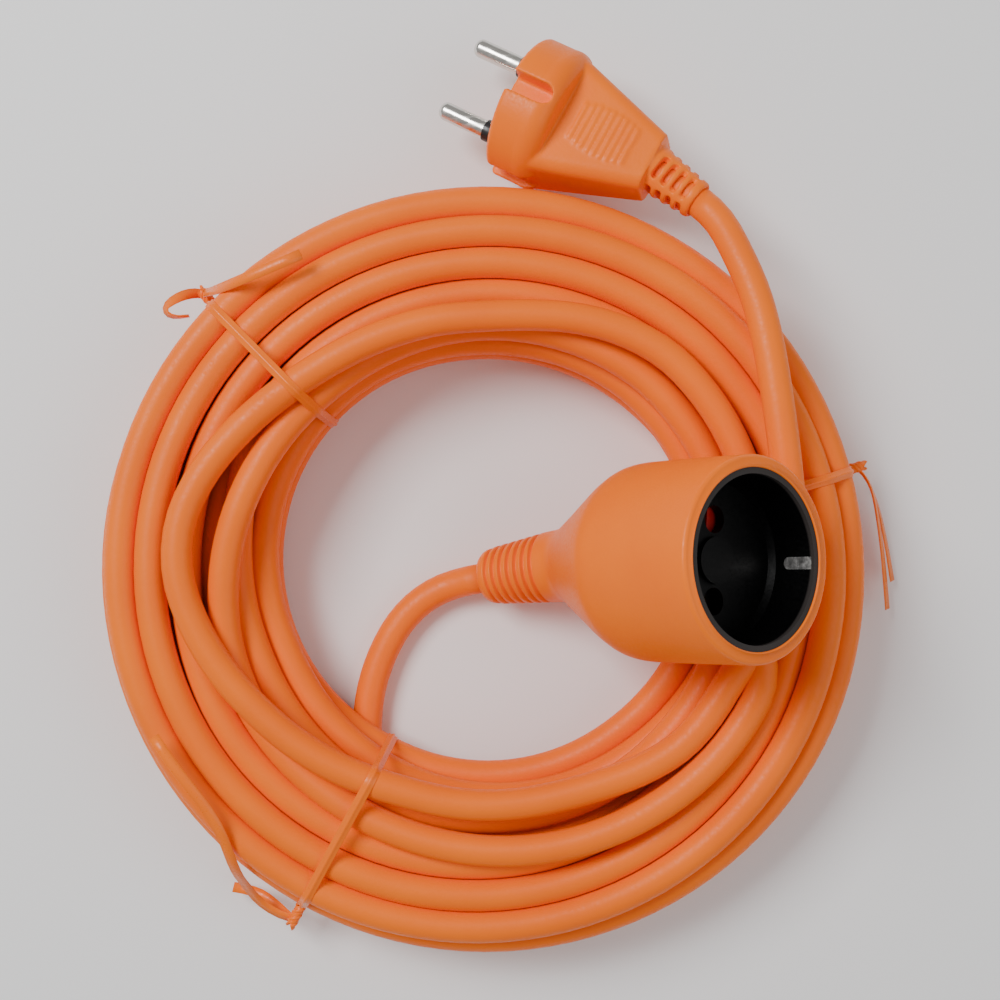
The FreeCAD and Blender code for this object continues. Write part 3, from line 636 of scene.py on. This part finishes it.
def surface_group():
    """Shared surface of a moulding or a drawn part: tone, gloss and grain that vary over it."""
    group = bpy.data.node_groups.new("part_surface", "ShaderNodeTree")
    for name, kind, start in (("Vector", "Vector", None), ("Tone", "Color", None),
                              ("Shade", "Color", None), ("Roughness", "Float", 0.45),
                              ("Gloss spread", "Float", 0.12), ("Grain size", "Float", 900.0),
                              ("Cloud size", "Float", 60.0), ("Scuffs", "Float", 0.15)):
        socket = group.interface.new_socket(name=name, in_out="INPUT",
                                            socket_type=f"NodeSocket{kind}")
        if start is not None:
            socket.default_value = start
    for name, kind in (("Colour", "Color"), ("Roughness", "Float"), ("Height", "Float")):
        group.interface.new_socket(name=name, in_out="OUTPUT", socket_type=f"NodeSocket{kind}")
    nodes, links = group.nodes, group.links
    inlet, outlet = nodes.new("NodeGroupInput"), nodes.new("NodeGroupOutput")

    def noise(size, detail):
        node = nodes.new("ShaderNodeTexNoise")
        node.inputs["Detail"].default_value = detail
        links.new(inlet.outputs["Vector"], node.inputs["Vector"])
        links.new(inlet.outputs[size], node.inputs["Scale"])
        return node.outputs["Fac"]

    def mapped(value, low, high, to_low=0.0, to_high=1.0):
        node = nodes.new("ShaderNodeMapRange")
        for socket, number in zip(node.inputs[1:5], (low, high, to_low, to_high)):
            socket.default_value = number
        links.new(value, node.inputs["Value"])
        return node.outputs["Result"]

    def maths(operation, first, second):
        node = nodes.new("ShaderNodeMath")
        node.operation = operation
        for socket, value in zip(node.inputs, (first, second)):
            if isinstance(value, float):
                socket.default_value = value
            else:
                links.new(value, socket)
        return node.outputs["Value"]

    grain, cloud = noise("Grain size", 3.0), noise("Cloud size", 4.0)
    scuff = maths("MULTIPLY", mapped(cloud, 0.58, 0.74), mapped(grain, 0.45, 0.62))
    mixed = nodes.new("ShaderNodeMix")
    mixed.data_type = "RGBA"
    links.new(mapped(cloud, 0.3, 0.7), mixed.inputs["Factor"])
    links.new(inlet.outputs["Tone"], mixed.inputs[6])
    links.new(inlet.outputs["Shade"], mixed.inputs[7])
    links.new(mixed.outputs[2], outlet.inputs["Colour"])
    spread = maths("MULTIPLY", mapped(grain, 0.3, 0.7, -1.0, 1.0), inlet.outputs["Gloss spread"])
    worn = maths("MULTIPLY", scuff, inlet.outputs["Scuffs"])
    rough = maths("ADD", maths("ADD", inlet.outputs["Roughness"], spread), worn)
    links.new(rough, outlet.inputs["Roughness"])
    links.new(maths("SUBTRACT", grain, maths("MULTIPLY", worn, 0.5)), outlet.inputs["Height"])
    return group


part_surface = surface_group()


def finish(name, tone, shade, roughness, bump, grain=900.0, cloud=60.0, spread=0.1, scuffs=0.15,
           stretch=(1, 1, 1), turn=(0, 0, 0), **fixed):
    """Material of one finish; fixed holds the shader's own constants by socket name."""
    material = bpy.data.materials.new(name)
    material.use_nodes = True
    nodes, links = material.node_tree.nodes, material.node_tree.links
    shader = nodes["Principled BSDF"]
    for socket, value in fixed.items():
        shader.inputs[socket.replace("_", " ")].default_value = value
    place = nodes.new("ShaderNodeTexCoord")
    mapping = nodes.new("ShaderNodeMapping")
    mapping.inputs["Scale"].default_value = stretch
    mapping.inputs["Rotation"].default_value = turn
    surface = nodes.new("ShaderNodeGroup")
    surface.node_tree = part_surface
    for socket, value in (("Tone", (*tone, 1)), ("Shade", (*shade, 1)), ("Roughness", roughness),
                          ("Gloss spread", spread), ("Grain size", grain), ("Cloud size", cloud),
                          ("Scuffs", scuffs)):
        surface.inputs[socket].default_value = value
    relief = nodes.new("ShaderNodeBump")
    relief.inputs["Strength"].default_value = bump
    relief.inputs["Distance"].default_value = BUMP_HEIGHT * MM
    links.new(place.outputs["Object"], mapping.inputs["Vector"])
    links.new(mapping.outputs["Vector"], surface.inputs["Vector"])
    links.new(surface.outputs["Colour"], shader.inputs["Base Color"])
    links.new(surface.outputs["Roughness"], shader.inputs["Roughness"])
    links.new(surface.outputs["Height"], relief.inputs["Height"])
    links.new(relief.outputs["Normal"], shader.inputs["Normal"])
    return material


def paint_shade_inwards(material, node, place, rim_depth, painted_shade_tone):
    """Keeps a material's colour on the rim of a cup and paints shade into it from there inwards,
    darkening the well to near black.
    """
    nodes, links = material.node_tree.nodes, material.node_tree.links
    to_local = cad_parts[node].matrix_world.inverted()
    rim = to_local @ metres(place @ Vector((-rim_depth, 0, 0)))
    out = (to_local @ metres(place @ Vector((1 - rim_depth, 0, 0))) - rim).normalized()
    along = nodes.new("ShaderNodeVectorMath")
    along.operation = "DOT_PRODUCT"
    along.inputs[1].default_value = out
    fade = nodes.new("ShaderNodeMapRange")
    fade.inputs["From Min"].default_value = rim.dot(out) - RIM_FADE * MM
    fade.inputs["From Max"].default_value = rim.dot(out)
    mixed = nodes.new("ShaderNodeMix")
    mixed.data_type = "RGBA"
    mixed.inputs[6].default_value = (*painted_shade_tone, 1)
    place_node = nodes["Texture Coordinate"]
    links.new(place_node.outputs["Object"], along.inputs[0])
    links.new(along.outputs["Value"], fade.inputs["Value"])
    links.new(fade.outputs["Result"], mixed.inputs["Factor"])
    links.new(nodes["Group"].outputs["Colour"], mixed.inputs[7])
    links.new(mixed.outputs[2], nodes["Principled BSDF"].inputs["Base Color"])


def wear(pieces, material):
    """Gives a material to pieces and to carried-over CAD nodes."""
    for piece in pieces:
        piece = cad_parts[piece] if isinstance(piece, str) else piece
        piece.data.materials.clear()
        piece.data.materials.append(material)


wear([jacket, plug], finish("orange_moulding", (1.0, 0.19, 0.0), (0.95, 0.165, 0.0), 0.42, 0.35,
                            grain=1400.0, Specular_IOR_Level=0.26))
wear([cord, "plug_sheath_end", "socket_sheath_end"],
     finish("orange_sheath", (1.0, 0.185, 0.0), (0.93, 0.155, 0.0), 0.46, 0.4, grain=1100.0,
            cloud=35.0, Specular_IOR_Level=0.26))
wear(ties, finish("tie_coating", (1.0, 0.19, 0.0), (0.95, 0.165, 0.0), 0.34, 0.3,
                  grain=1800.0, Specular_IOR_Level=0.36))
wear(["plug_bridge"], finish("black_collar", (0.012, 0.012, 0.013), (0.02, 0.02, 0.021), 0.38, 0.3))
cup_finish_and_shade = finish("dark_cup_and_painted_shade", (0.034, 0.029, 0.027), (0.04, 0.034, 0.032), 0.42, 0.25,
                    grain=1200.0, Specular_IOR_Level=0.16)
# painted shade: the socket's well is darkened to near black from just inside its rim inwards
paint_shade_inwards(cup_finish_and_shade, "socket_insert", socket_place, CUP_RIM_DEPTH, (0.0008, 0.0008, 0.0009))
wear(["socket_insert"], cup_finish_and_shade)
wear(["contact_carrier", "carrier_cover"],
     finish("dark_carrier", (0.010, 0.011, 0.013), (0.017, 0.018, 0.021), 0.4, 0.3))
wear(["shutter"], finish("red_blade", (0.55, 0.012, 0.01), (0.42, 0.009, 0.008), 0.36, 0.3))
wear(["plug_pin_left", "plug_pin_right"],
     finish("plated_shank", (0.80, 0.77, 0.72), (0.71, 0.68, 0.63), 0.24, 0.25, grain=700.0,
            cloud=90.0, spread=0.08, turn=(0, 0, -radians(PLUG_TURNS[0])), stretch=(0.12, 1, 1),
            Metallic=1.0))
wear(["side_clip_upper", "side_clip_lower"],
     finish("nickel", (0.86, 0.84, 0.82), (0.78, 0.76, 0.73), 0.42, 0.2, cloud=250.0, Metallic=1.0))
wear(["socket_contact_left", "socket_contact_right"],
     finish("brass", (0.80, 0.58, 0.25), (0.68, 0.47, 0.19), 0.32, 0.25, Metallic=1.0))
wear(["shutter_spring", "shutter_pivot"],
     finish("steel", (0.6, 0.6, 0.61), (0.48, 0.48, 0.49), 0.3, 0.2, Metallic=1.0))
wear(["plug_core_brown", "socket_core_brown"],
     finish("brown_insulation", (0.16, 0.06, 0.025), (0.12, 0.045, 0.02), 0.42, 0.3))
wear(["plug_core_blue", "socket_core_blue"],
     finish("blue_insulation", (0.02, 0.09, 0.42), (0.015, 0.07, 0.34), 0.42, 0.3))

# ---- studio ----
def add_light(name, place, size, energy):
    """Soft square light that faces the coil."""
    data = bpy.data.lights.new(name, "AREA")
    data.energy = energy
    data.size = size
    light = bpy.data.objects.new(name, data)
    light.location = place
    light.rotation_euler = (-Vector(place)).to_track_quat("-Z", "Y").to_euler()
    bpy.context.collection.objects.link(light)


def add_studio():
    """Plain pale floor, an even white surround and two soft lights."""
    floor = bpy.data.objects.new("floor", bpy.data.meshes.new("floor"))
    floor.data.from_pydata([(-3, -3, 0), (3, -3, 0), (3, 3, 0), (-3, 3, 0)], [], [(0, 1, 2, 3)])
    bpy.context.collection.objects.link(floor)
    floor.data.materials.append(finish("floor_paper", (0.93, 0.93, 0.93), (0.9, 0.9, 0.9), 0.8, 0.0,
                                       cloud=1.2))
    world = bpy.data.worlds.new("studio")
    bpy.context.scene.world = world
    world.use_nodes = True
    surround = world.node_tree.nodes["Background"]
    surround.inputs["Color"].default_value = (1, 1, 1, 1)
    surround.inputs["Strength"].default_value = 0.36
    add_light("key", (-0.5, 0.35, 0.85), 0.42, 9.5)
    add_light("fill", (0.7, -0.2, 0.7), 0.8, 2.5)


add_studio()
